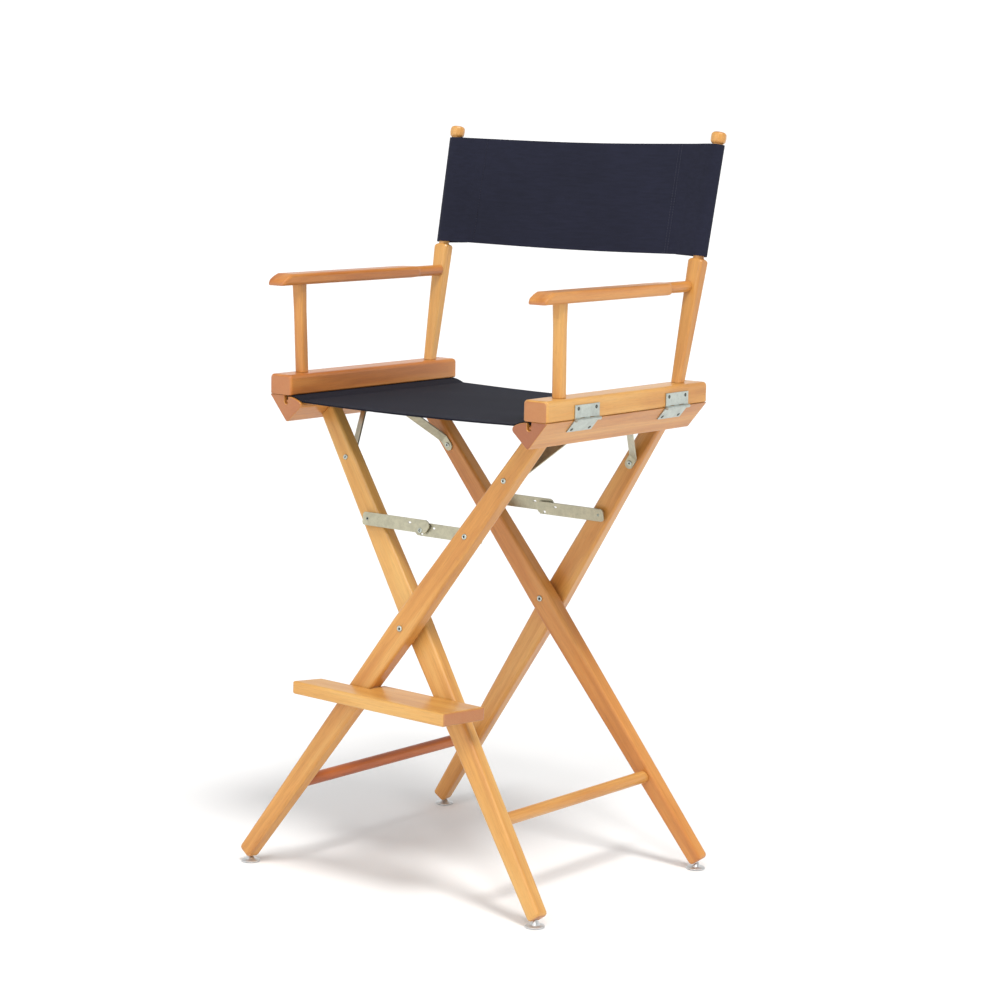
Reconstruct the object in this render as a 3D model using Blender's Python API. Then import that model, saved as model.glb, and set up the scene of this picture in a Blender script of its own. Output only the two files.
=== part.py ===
"""Tall folding chair with a canvas seat and back: crossed pairs of straight wooden legs, hinged arm frames,
folding flat spreaders, corner braces and a footrest. Metres, +Z up, front faces -Y."""

from math import atan, cos, pi, radians, sin, tan

import bmesh
import bpy
from mathutils import Vector

# whole frame
PIVOT_Z = 0.412  # height of the crossing pivot
LEAN = radians(35.35)  # a leg's centreline from vertical, seen from the front
SPLAY = 0.13  # the leg planes move outward by this much per metre going down
GAP = 0.0003  # space kept between touching pieces

# legs, with stations measured along the leg from the crossing
LEG_THICK = 0.0248
OUTER_FACE = 0.204  # |y| of an outer leg's outer face at the crossing
INNER_FACE = 0.1705  # the same for an inner leg
LEG_WIDE = 0.0418  # at the crossing
LEG_TAPER = 0.0350  # loss of width per metre along the leg, both ways
LEG_ROUND = 0.0048
FOOT_AT = -0.4895
STRETCHER_AT = -0.330
SPREADER_AT = 0.188
BRACE_AT = 0.2987

# rails
RAIL_HALF = 0.203
GROOVE_X = 0.241
GROOVE_R = 0.004
GROOVE_FLOOR = 0.7410  # centre of the groove's round bottom
RAIL_TOP = 0.751
UPPER_X = (0.230, 0.275)
UPPER_Z = (0.7515, 0.783)
UPPER_HALF = 0.204

# hinges
PIN_X, PIN_Z = 0.2785, 0.7505
KNUCKLE_R = 0.0027
BORE_R = 0.00135
PIN_R = 0.00125
LEAF_T = 0.0014
HINGES = {"front": (-0.139, -0.079), "rear": (0.091, 0.150)}

# arms and posts
ARM_X = (0.239, 0.275)
ARM_Z = (0.922, 0.940)
FRONT_POST = 0.0188
TENON_R = 0.0055
TENON_LONG = 0.012
BACK_LEAN = Vector((0.0285, 0.205, 1.0)).normalized()
BACK_BASE = Vector((0.2505, 0.158, UPPER_Z[1]))
SPINDLE_R = 0.0085
TOP_Z = 1.168

# spreaders
LINK_HALF = 0.0105
LINK_T = 0.0022
KNEE_DROP = 0.0082  # the knee lies this much below the line of the link bolts

# footrest
REST_TOP = 0.3136
REST_T = 0.0207
REST_TILT = radians(0.85)

WOOD = (0.72, 0.42, 0.17, 1.0)
ZINC = (0.62, 0.64, 0.60, 1.0)
BEIGE = (0.60, 0.57, 0.44, 1.0)
NAVY = (0.028, 0.031, 0.050, 1.0)

PSI = atan(SPLAY)
X, Y, Z = Vector((1, 0, 0)), Vector((0, 1, 0)), Vector((0, 0, 1))

for old in list(bpy.data.objects):
    bpy.data.objects.remove(old, do_unlink=True)


# ---------------------------------------------------------------- helpers


def material(name, color, rough, metal=0.0):
    mat = bpy.data.materials.new(name)
    mat.use_nodes = True
    shader = mat.node_tree.nodes["Principled BSDF"]
    shader.inputs["Base Color"].default_value = color
    shader.inputs["Roughness"].default_value = rough
    shader.inputs["Metallic"].default_value = metal
    return mat


def put(name, bm, look, origin=(0, 0, 0)):
    """Turns a bmesh made in world metres into a named object with its origin at a point."""
    bmesh.ops.recalc_face_normals(bm, faces=bm.faces)
    bmesh.ops.translate(bm, verts=bm.verts, vec=-Vector(origin))
    mesh = bpy.data.meshes.new(name)
    bm.to_mesh(mesh)
    bm.free()
    color, rough, metal = look
    mesh.materials.append(material(name, color, rough, metal))
    mesh.shade_smooth()
    mesh.set_sharp_from_angle(angle=radians(35))
    obj = bpy.data.objects.new(name, mesh)
    obj.location = origin
    bpy.context.scene.collection.objects.link(obj)
    return obj


def loft(rings):
    """Closed body through rings of equal point count, with a flat face at each end."""
    bm = bmesh.new()
    rows = [[bm.verts.new(p) for p in ring] for ring in rings]
    for low, high in zip(rows, rows[1:]):
        for i in range(len(low)):
            j = (i + 1) % len(low)
            bm.faces.new((low[i], low[j], high[j], high[i]))
    bm.faces.new(rows[0][::-1])
    bm.faces.new(rows[-1])
    return bm


def rounded(half_a, half_b, radius, steps=3):
    """Outline of a rounded rectangle, counter-clockwise, as (a, b) pairs."""
    radius = min(radius, half_a, half_b)
    pts = []
    for k in range(4):
        ca = (half_a - radius) * (1 if k in (0, 3) else -1)
        cb = (half_b - radius) * (1 if k in (0, 1) else -1)
        for i in range(steps + 1):
            t = (k + i / steps) * pi / 2
            pts.append((ca + radius * cos(t), cb + radius * sin(t)))
    return pts


def circle(radius, sides):
    return [(radius * cos(2 * pi * i / sides), radius * sin(2 * pi * i / sides)) for i in range(sides)]


def spread(outline, origin, u, v):
    return [origin + u * a + v * b for a, b in outline]


def turned(start, axis, profile, sides=16):
    """Rings of a turned piece: profile is (distance along, radius) pairs."""
    u = axis.orthogonal().normalized()
    v = axis.cross(u)
    return [spread(circle(r, sides), start + axis * h, u, v) for h, r in profile]


def onto(points, along, at, normal):
    """Slides points along a direction until they lie in a plane."""
    return [p + along * ((at - p).dot(normal) / along.dot(normal)) for p in points]


def carve(obj, cutters):
    """Cuts closed shapes out of an object, each given as a bmesh."""
    for n, bm in enumerate(cutters):
        bmesh.ops.recalc_face_normals(bm, faces=bm.faces)
        mesh = bpy.data.meshes.new(f"{obj.name}_cutter_{n}")
        bm.to_mesh(mesh)
        bm.free()
        cutter = bpy.data.objects.new(f"{obj.name}_cutter_{n}", mesh)
        cutter.hide_render = True
        cutter.display_type = "WIRE"
        bpy.context.scene.collection.objects.link(cutter)
        cut = obj.modifiers.new(f"cut_{n}", "BOOLEAN")
        cut.operation = "DIFFERENCE"
        cut.solver = "EXACT"
        cut.object = cutter
    return obj


def join(obj, parts):
    """Unites closed shapes with an object, each given as a bmesh that clearly overlaps it."""
    for n, bm in enumerate(parts):
        bmesh.ops.recalc_face_normals(bm, faces=bm.faces)
        mesh = bpy.data.meshes.new(f"{obj.name}_join_{n}")
        bm.to_mesh(mesh)
        bm.free()
        part = bpy.data.objects.new(f"{obj.name}_join_{n}", mesh)
        part.hide_render = True
        part.display_type = "WIRE"
        bpy.context.scene.collection.objects.link(part)
        union = obj.modifiers.new(f"join_{n}", "BOOLEAN")
        union.operation = "UNION"
        union.solver = "EXACT"
        union.object = part
    return obj


def rod(start, axis, low, high, radius, sides=12):
    return loft(turned(start, axis, [(low, radius), (high, radius)], sides))


def extruded(outline, origin, u, v, out, low, high):
    """Prism of an outline in the plane of u and v, from low to high along out."""
    base = spread(outline, origin, u, v)
    return loft([[p + out * low for p in base], [p + out * high for p in base]])


PINE = (WOOD, 0.45, 0.0)
METAL = (ZINC, 0.35, 1.0)
BAR = (BEIGE, 0.4, 0.85)
CLOTH = (NAVY, 0.9, 0.0)


# ---------------------------------------------------------------- rail sections


def mirror_x(side, points):
    return [Vector((side * p.x, p.y, p.z)) for p in points]


def arc(cx, cz, r, start, end, steps):
    return [
        (cx + r * cos(radians(start + (end - start) * i / steps)),
         cz + r * sin(radians(start + (end - start) * i / steps)))
        for i in range(steps + 1)
    ]


FACET_LOW = Vector((0.2395, 0, 0.7085))  # where the two slanted faces would meet
FACET_HIGH = Vector((0.2105, 0, 0.7345))  # the nose end of the face that the legs butt
FACET_DIR = (FACET_HIGH - FACET_LOW).normalized()
FACET_OUT = Vector((FACET_DIR.z, 0, -FACET_DIR.x))
if FACET_OUT.z > 0:
    FACET_OUT = -FACET_OUT
SLANT_TOP = Vector((0.275, 0, RAIL_TOP))
SLANT_DIR = (FACET_LOW - SLANT_TOP).normalized()  # down the outer face
SLANT_OUT = Vector((-SLANT_DIR.z, 0, SLANT_DIR.x))
if SLANT_OUT.x < 0:
    SLANT_OUT = -SLANT_OUT


def lower_rail_section():
    """Right lower rail in (x, z): slanted outer face, face for the legs, round nose and the seat's groove."""
    corner = []
    r = 0.004
    low = FACET_LOW - SLANT_DIR * r * 1.0
    high = FACET_LOW + FACET_DIR * r * 1.0
    for i in range(4):
        t = i / 3
        p = low * (1 - t) ** 2 + FACET_LOW * 2 * t * (1 - t) + high * t * t
        corner.append((p.x, p.z))
    nose = [(0.2118, 0.7333), (0.2104, 0.7352), (0.2100, 0.7378), (0.2106, 0.7402), (0.2124, 0.7422)]
    top = [(0.2165, 0.7444), (0.2215, 0.7464), (0.2265, 0.7479), (0.2315, 0.7489), (0.2362, 0.7492)]
    groove = [(GROOVE_X - GROOVE_R, 0.7482)] + arc(GROOVE_X, GROOVE_FLOOR, GROOVE_R, 180, 360, 6)
    back = [(GROOVE_X + GROOVE_R, RAIL_TOP), (0.2738, RAIL_TOP), (0.2746, 0.7505)]
    return [(0.2742, 0.7500)] + corner + nose + top + groove + back


def soft_ends(bm, half, width):
    """Bevels the edges round the two end faces of a piece that runs along Y."""
    ends = [
        e for e in bm.edges
        if all(abs(abs(v.co.y) - half) < 1e-6 for v in e.verts) and e.verts[0].co.y * e.verts[1].co.y > 0
    ]
    bmesh.ops.bevel(bm, geom=ends, offset=width, segments=1, affect="EDGES", clamp_overlap=True)


# ---------------------------------------------------------------- legs


def leg_frame(lean, end):
    """Unit vectors of a leg: along it going up, across it to the outside of the X, and out of the chair."""
    up = Vector((0, -end * sin(PSI), cos(PSI)))
    out = Vector((0, end * cos(PSI), sin(PSI)))
    theta = atan(tan(LEAN) * cos(PSI))
    along = X * lean * sin(theta) + up * cos(theta)
    across = X * lean * cos(theta) - up * sin(theta)
    return along, across, out


LEGS = {
    "leg_front_outer": (1, -1, OUTER_FACE),
    "leg_front_inner": (-1, -1, INNER_FACE),
    "leg_rear_inner": (-1, 1, INNER_FACE),
    "leg_rear_outer": (1, 1, OUTER_FACE),
}


def leg_point(name, along_by, across_by=0.0, inward=0.0):
    """A point of a leg: stations along and across it, and depth inward from its outer face."""
    lean, end, face = LEGS[name]
    along, across, out = leg_frame(lean, end)
    return Vector((0, end * face, PIVOT_Z)) + along * along_by + across * across_by - out * inward


def leg_half(s):
    return (LEG_WIDE - LEG_TAPER * abs(s)) / 2


STRETCHER_R = 0.0098
SOCKET_R = 0.0068
SOCKET_DEEP = 0.013


def build_leg(name):
    lean, end, face = LEGS[name]
    along, across, out = leg_frame(lean, end)
    mid = Vector((0, end * face, PIVOT_Z)) - out * LEG_THICK / 2

    def ring(s, inset=0.0, r=LEG_ROUND):
        return spread(
            rounded(leg_half(s) - inset, LEG_THICK / 2 - inset, max(r - inset * 0.5, 0.001)),
            mid + along * s, across, out,
        )

    foot_r = 0.0058
    rings = [
        ring(FOOT_AT + foot_r * (1 - cos(t)), foot_r * (1 - sin(t)))
        for t in (radians(12), radians(38), radians(64), radians(90))
    ]
    rings.append(ring(0.0))
    facet_n = Vector((lean * FACET_OUT.x, 0, FACET_OUT.z))
    facet_at = Vector((lean * FACET_HIGH.x, 0, FACET_HIGH.z)) + facet_n * GAP
    rings.append(onto(ring(0.380), along, facet_at, facet_n))
    leg = put(name, loft(rings), PINE)
    spread_at = leg_point(name, SPREADER_AT)
    brace_at = leg_point(name, BRACE_AT)
    hole = [
        rod(Vector((0, end * face, PIVOT_Z)), Y, -0.045, 0.045, 0.0033, 16),
        rod(spread_at, out, -0.04, 0.01, 0.0028, 12),
        rod(brace_at, out, -0.04, 0.01, 0.0023, 12),
    ]
    peg = leg_point(name, STRETCHER_AT, 0, LEG_THICK)
    hole.append(rod(peg, Y * end, -0.02, SOCKET_DEEP, SOCKET_R + GAP, 16))
    return carve(leg, hole)


for leg_name in LEGS:
    build_leg(leg_name)


def stretcher(name, leg_name):
    """Round bar between the front and rear legs of one body, with a peg at each end."""
    lean, end, face = LEGS[leg_name]
    centre = leg_point(leg_name, STRETCHER_AT, 0, LEG_THICK)
    out = leg_frame(lean, end)[2]
    axis = Vector((0, end, 0))
    shoulder = centre - axis * GAP

    def ring(r, at, flat):
        pts = spread(circle(r, 16), Vector((centre.x, 0, centre.z)), X, Z)
        if flat:
            return [Vector((p.x, at, p.z)) for p in pts]
        return onto(pts, Y, shoulder, out)

    tip = centre.y + end * (SOCKET_DEEP - 0.0015)
    half = [
        ring(SOCKET_R - 0.001, tip, True),
        ring(SOCKET_R, tip - end * 0.001, True),
        ring(SOCKET_R, 0, False),
        ring(STRETCHER_R - 0.0006, 0, False),
        [p - Y * end * 0.001 for p in ring(STRETCHER_R, 0, False)],
    ]
    other = [[Vector((p.x, -p.y, p.z)) for p in r] for r in reversed(half)]
    put(name, loft(half + other), PINE)


stretcher("stretcher_left", "leg_front_outer")
stretcher("stretcher_right", "leg_front_inner")


# ---------------------------------------------------------------- rails, posts and arms


def rail_pair(side, tag):
    section = lower_rail_section()
    base = [Vector((side * a, -RAIL_HALF, b)) for a, b in section]
    bm = loft([base, [p + Y * 2 * RAIL_HALF for p in base]])
    bmesh.ops.recalc_face_normals(bm, faces=bm.faces)
    soft_ends(bm, RAIL_HALF, 0.0009)
    put(f"lower_rail_{tag}", bm, PINE)

    cx, hx = sum(UPPER_X) / 2, (UPPER_X[1] - UPPER_X[0]) / 2
    rings = []
    corner = 0.0048
    ends = []
    for t in (8, 30, 60, 90):
        a = radians(t)
        ends.append((UPPER_HALF - corner * (1 - cos(a)), corner * (1 - sin(a))))
    low, high = UPPER_Z
    for y, inset in [(-y, i) for y, i in ends] + [(y, i) for y, i in reversed(ends)]:
        half = hx - inset
        top = high - inset * 0.9
        r_top, r_low = 0.0055, 0.0016
        ring = []
        for ca, cb, r, a0 in (
            (half - r_top, top - r_top, r_top, 0), (-half + r_top, top - r_top, r_top, 90),
            (-half + r_low, low + r_low, r_low, 180), (half - r_low, low + r_low, r_low, 270),
        ):
            steps = 3 if r == r_top else 1
            for i in range(steps + 1):
                t = radians(a0 + 90 * i / steps)
                ring.append(Vector((side * (cx + ca + r * cos(t)), y, cb + r * sin(t))))
        rings.append(ring)
    upper = put(f"upper_rail_{tag}", loft(rings), PINE)
    return upper


def octagon(half, cut):
    return [
        (half, -half + cut), (half, half - cut), (half - cut, half), (-half + cut, half),
        (-half, half - cut), (-half, -half + cut), (-half + cut, -half), (half - cut, -half),
    ]


def post_outline(half, cut):
    """Square with wide chamfers whose edges are themselves eased, sixteen points."""
    pts = []
    outline = octagon(half, cut)
    for i, p in enumerate(outline):
        before, after = Vector(outline[i - 1]), Vector(outline[(i + 1) % 8])
        here = Vector(p)
        for q in (before, after):
            d = (q - here)
            pts.append(tuple(here + d.normalized() * min(0.0012, d.length * 0.3)))
    return pts


def arm_frame(side, tag):
    upper = rail_pair(side, tag)

    # front post, nearly upright
    low = Vector((side * 0.2553, -0.151, UPPER_Z[1]))
    high = Vector((side * 0.2575, -0.1555, ARM_Z[0]))
    axis = (high - low).normalized()
    u = (X * side - axis * axis.dot(X * side)).normalized()
    v = axis.cross(u)

    def flat(points, z):
        return onto(points, axis, Vector((0, 0, z)), Z)

    body = spread(post_outline(FRONT_POST / 2, 0.0046), low, u, v)
    flare = spread(post_outline(FRONT_POST / 2 + 0.0009, 0.005), low, u, v)
    peg = spread(circle(TENON_R, 16), low, u, v)
    z0, z1 = UPPER_Z[1] + GAP, ARM_Z[0] - GAP
    put(f"front_post_{tag}", loft([
        flat(peg, z0 - TENON_LONG), flat(peg, z0), flat(body, z0), flat(body, z0 + 0.1),
        flat(flare, z1), flat(peg, z1), flat(peg, z1 + 0.010),
    ]), PINE)
    bore_low = rod(low - axis * 0.014, axis, 0, 0.02, TENON_R + GAP, 16)
    bore_high = rod(high + axis * 0.012, -axis, 0, 0.02, TENON_R + GAP, 16)

    # back post, raked, with a turned spindle for the back sleeve and a barrel finial
    base = Vector((side * BACK_BASE.x, BACK_BASE.y, BACK_BASE.z))
    rake = Vector((side * BACK_LEAN.x, BACK_LEAN.y, BACK_LEAN.z))
    u = (X * side - rake * rake.dot(X * side)).normalized()
    v = rake.cross(u)

    def at(z):
        return base + rake * ((z - base.z) / rake.z)

    def ring(half_u, half_v, r, z):
        return spread(rounded(half_u, half_v, r), at(z), u, v)

    peg = spread(circle(TENON_R, 16), base, u, v)
    foot = ring(0.0085, 0.0080, 0.0035, base.z)
    level = Vector((0, 0, UPPER_Z[1] + GAP))
    deep = Vector((0, 0, UPPER_Z[1] + GAP - TENON_LONG))
    round_to = []
    for t in (0, 30, 60, 85):
        a = radians(t)
        round_to.append((0.0100 + 0.0035 * cos(a), 0.0086 + 0.0019 * cos(a), 0.9685 + 0.0042 * sin(a)))
    rings = [onto(peg, rake, deep, Z), onto(peg, rake, level, Z), onto(foot, rake, level, Z)]
    rings += [ring(0.0086 + 0.0048 * (z - 0.783) / 0.179, 0.0081 + 0.0024 * (z - 0.783) / 0.179,
                   0.0036 + 0.001 * (z - 0.783) / 0.179, z) for z in (0.86,)]
    rings += [ring(hu, hv, 0.0048 + 0.0037 * i / 3, z) for i, (hu, hv, z) in enumerate(round_to)]
    top = at(TOP_Z)
    for z, r in ((0.9738, SPINDLE_R), (1.1490, SPINDLE_R), (1.1502, 0.0102), (1.1522, 0.0116),
                 (1.1580, 0.0122), (1.1630, 0.0118), (1.1655, 0.0104), (1.1668, 0.0078), (1.1676, 0.0040)):
        rings.append(spread(rounded(r, r, r), at(z), u, v))
    lift = top.z - max(p.z for p in rings[-1])
    rings[-1] = [p + Z * lift for p in rings[-1]]
    put(f"back_post_{tag}", loft(rings), PINE)
    bore_back = rod(base - rake * 0.014, rake, 0, 0.02, TENON_R + GAP, 16)
    carve(upper, [bore_low, bore_back])

    # arm: flat board with a chamfered front and a round tongue that meets the back post
    cx, hx = sum(ARM_X) / 2, (ARM_X[1] - ARM_X[0]) / 2
    cz, hz = sum(ARM_Z) / 2, (ARM_Z[1] - ARM_Z[0]) / 2
    tongue_x, tongue_z, tongue_r = 0.2497, cz - 0.0002, 0.0088

    def slab(y, x, z, half_x, half_z, r):
        return [Vector((side * (x + a), y, z + b)) for a, b in rounded(half_x, half_z, r)]

    rings = [
        slab(-0.2120, cx, 0.9237, hx - 0.0060, 0.0016, 0.0014),
        slab(-0.2105, cx, 0.9248, hx - 0.0030, 0.0028, 0.0022),
        slab(-0.2060, cx, 0.9270, hx - 0.0006, 0.0050, 0.0036),
        slab(-0.1980, cx, 0.9294, hx, 0.0074, 0.0046),
        slab(-0.1900, cx, cz, hx, hz, 0.0048),
        slab(0.0980, cx, cz, hx, hz, 0.0048),
        slab(0.1060, cx - 0.0016, cz, hx - 0.0016, hz, 0.0056),
        slab(0.1130, cx - 0.0046, cz, hx - 0.0046, hz - 0.0002, 0.0066),
        slab(0.1200, tongue_x, tongue_z, tongue_r + 0.0010, tongue_r, tongue_r),
    ]
    last = slab(0.1500, tongue_x, tongue_z, tongue_r, tongue_r, tongue_r)
    rings.append(last)
    post_at = at(tongue_z)
    post_front = v if v.y < 0 else -v
    half_here = 0.0081 + 0.0024 * (tongue_z - 0.783) / 0.179
    rings.append(onto(last, Y, post_at + post_front * (half_here + GAP), post_front))
    arm = put(f"arm_{tag}", loft(rings), PINE)
    carve(arm, [bore_high])


arm_frame(1, "right")
arm_frame(-1, "left")


# ---------------------------------------------------------------- hinges


def hinge(side, tag, end):
    y0, y1 = HINGES[end]
    pin = Vector((side * PIN_X, 0, PIN_Z))
    step = (y1 - y0) / 5
    clear = 0.0002

    def tubes(numbers):
        for n in numbers:
            yield y0 + n * step + clear, y0 + (n + 1) * step - clear

    def leaf(name, inner, run, reach, numbers, start):
        """A leaf whose plate lies against a wooden face: inner is a point of that face beside the pin,
        run goes away from the pin along the face, reach is how far."""
        n = Vector((-run.z, 0, run.x))
        if n.x * side < 0:
            n = -n
        base = inner + n * GAP
        outline = [(start, 0), (reach, 0), (reach, LEAF_T), (start, LEAF_T)]
        plate = extruded(outline, Vector((base.x, 0, base.z)), run, n, Y, y0 + clear, y1 - clear)
        obj = put(name, plate, METAL, origin=(pin.x, (y0 + y1) / 2, pin.z))
        wings = []
        for lo, hi in tubes(numbers):
            tube = rod(Vector((pin.x, 0, pin.z)), Y, lo, hi, KNUCKLE_R, 14)
            tab = extruded([(0.0, 0), (start + 0.002, 0), (start + 0.002, LEAF_T), (0.0, LEAF_T)],
                           Vector((base.x, 0, base.z)), run, n, Y, lo, hi)
            wings += [tab, tube]
        join(obj, wings)
        carve(obj, [rod(Vector((pin.x, 0, pin.z)), Y, y0 - 0.002, y1 + 0.002, BORE_R, 14)])

    wall = Vector((side * UPPER_X[1], 0, PIN_Z))
    leaf(f"hinge_upper_{tag}_{end}", wall, Z, 0.0225, (0, 2, 4), 0.0033)
    slant = Vector((side * SLANT_DIR.x, 0, SLANT_DIR.z))
    slant_out = Vector((side * SLANT_OUT.x, 0, SLANT_OUT.z))
    top = Vector((side * SLANT_TOP.x, 0, SLANT_TOP.z))
    foot = pin - slant_out * (pin - top).dot(slant_out)
    leaf(f"hinge_lower_{tag}_{end}", foot, slant, 0.0255, (1, 3), 0.0036)
    put(f"hinge_pin_{tag}_{end}", loft(turned(Vector((pin.x, 0, pin.z)), Y, [
        (y0 - 0.0006, PIN_R - 0.0003), (y0 - 0.0002, PIN_R), (y1 + 0.0002, PIN_R),
        (y1 + 0.0006, PIN_R - 0.0003),
    ], 12)), METAL, origin=(pin.x, (y0 + y1) / 2, pin.z))


for hinge_side, hinge_tag in ((1, "right"), (-1, "left")):
    for hinge_end in HINGES:
        hinge(hinge_side, hinge_tag, hinge_end)


# ---------------------------------------------------------------- bolts, spreaders and braces

GAP_Y = OUTER_FACE - INNER_FACE - LEG_THICK / cos(PSI)  # free space between the two legs of an X, along Y


def cross_bolt(tag, end):
    """Rivet along the fold axis through both legs, with dimpled heads and a spacer between the legs."""
    start = Vector((0, end * OUTER_FACE, PIVOT_Z))
    inward = Vector((0, -end, 0))
    thick = LEG_THICK / cos(PSI)
    slope = tan(PSI)
    head, collar = 0.0050, 0.0072
    first, second = thick, thick + GAP_Y
    last = second + thick
    profile = [
        (0.0012, 0.0010), (-0.0016, 0.0019), (-0.0022, 0.0026), (-0.0019, 0.0040),
        (-head * slope - 0.0004, head), (-head * slope - 0.0003, 0.0030), (first + collar * slope + 0.0004, 0.0030),
        (first + collar * slope + 0.0005, collar), (second - collar * slope - 0.0005, collar),
        (second - collar * slope - 0.0004, 0.0030), (last + head * slope + 0.0003, 0.0030),
        (last + head * slope + 0.0004, head), (last + 0.0019, 0.0042), (last + 0.0024, 0.0028),
        (last + 0.0017, 0.0019), (last - 0.0008, 0.0010),
    ]
    put(f"cross_bolt_{tag}", loft(turned(start, inward, profile, 12)), METAL, origin=(0, start.y, PIVOT_Z))


cross_bolt("front", -1)
cross_bolt("rear", 1)

LINK_DEEP = 0.0056  # from a leg's facing side to its link, which runs in the layer beside the other leg


def spreader(leg_name, tag):
    """One flat link of a spreader with its bolt and spacer."""
    lean, end, face = LEGS[leg_name]
    out = leg_frame(lean, end)[2]
    up = Vector((0, -end * sin(PSI), cos(PSI)))
    outer = lean == 1
    facing = -out if outer else out
    bolt = leg_point(leg_name, SPREADER_AT, 0, LEG_THICK if outer else 0.0)
    toward = -X * lean
    reach = abs(bolt.x)
    top, low = LINK_HALF - 0.0003, -LINK_HALF
    # outline in (toward the knee, up): eased corners at the bolt, notched and stepped at the knee
    outline = [(-0.0050, top), (-0.0082, top - 0.0012), (-0.0096, top - 0.0044), (-0.0096, low + 0.0044),
               (-0.0082, low + 0.0012), (-0.0050, low)]
    outline += [
        (reach + 0.008, low), (reach + 0.0125, low + 0.0035), (reach + 0.0165, low + 0.010),
        (reach + 0.0165, top - 0.0075), (reach + 0.0135, top - 0.002), (reach + 0.009, top),
    ]
    link = put(f"spreader_link_{tag}",
               extruded(outline, bolt + facing * LINK_DEEP, toward, up, facing, 0, LINK_T), BAR,
               origin=tuple(bolt))
    knee_at = bolt + toward * reach - up * (KNEE_DROP - 0.0016)
    slot = [(a + reach - 0.0225, b + 0.0035) for a, b in rounded(0.0036, 0.0013, 0.0012, 1)]
    carve(link, [
        rod(bolt, facing, -0.01, 0.02, 0.0025, 12), rod(knee_at, facing, -0.01, 0.02, 0.0028, 12),
        extruded(slot, bolt, toward, up, facing, -0.01, 0.02),
    ])
    # bolt: dimpled head on the leg's far side, shank, spacer, and a riveted end over the link
    neck, head = 0.0023, -LEG_THICK
    tail = LINK_DEEP + LINK_T
    profile = [
        (head + 0.0008, 0.0009), (head - 0.0016, 0.0017), (head - 0.0021, 0.0023), (head - 0.0018, 0.0036),
        (head - 0.0003, 0.0046), (head - 0.00029, neck), (0.0004, neck), (0.00041, 0.0058),
        (LINK_DEEP - 0.0003, 0.0058), (LINK_DEEP - 0.00029, neck), (tail + 0.0004, neck),
        (tail + 0.0005, 0.0018), (tail - 0.0014, 0.0010),
    ]
    put(f"spreader_bolt_{tag}", loft(turned(bolt, facing, profile, 12)), METAL, origin=tuple(bolt))
    return knee_at, facing


def knee_rivet(tag, knee_at, facing):
    """Rivet fixed in the outer link, headed on its outside, with its stem short of the other link."""
    tail = LINK_DEEP + LINK_T
    profile = [
        (LINK_DEEP - 0.0012, 0.0021), (LINK_DEEP - 0.0009, 0.0024), (tail + 0.0003, 0.0024),
        (tail + 0.00031, 0.0042), (tail + 0.0010, 0.0038), (tail + 0.0014, 0.0022), (tail + 0.0009, 0.0012),
    ]
    put(f"knee_rivet_{tag}", loft(turned(knee_at, facing, profile, 12)), METAL, origin=tuple(knee_at))


for spread_leg, spread_tag in (
    ("leg_front_outer", "front_right"), ("leg_front_inner", "front_left"),
    ("leg_rear_inner", "rear_left"), ("leg_rear_outer", "rear_right"),
):
    knee = spreader(spread_leg, spread_tag)
    if spread_tag.endswith("left"):
        knee_rivet(spread_tag.split("_")[0], *knee)


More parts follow.
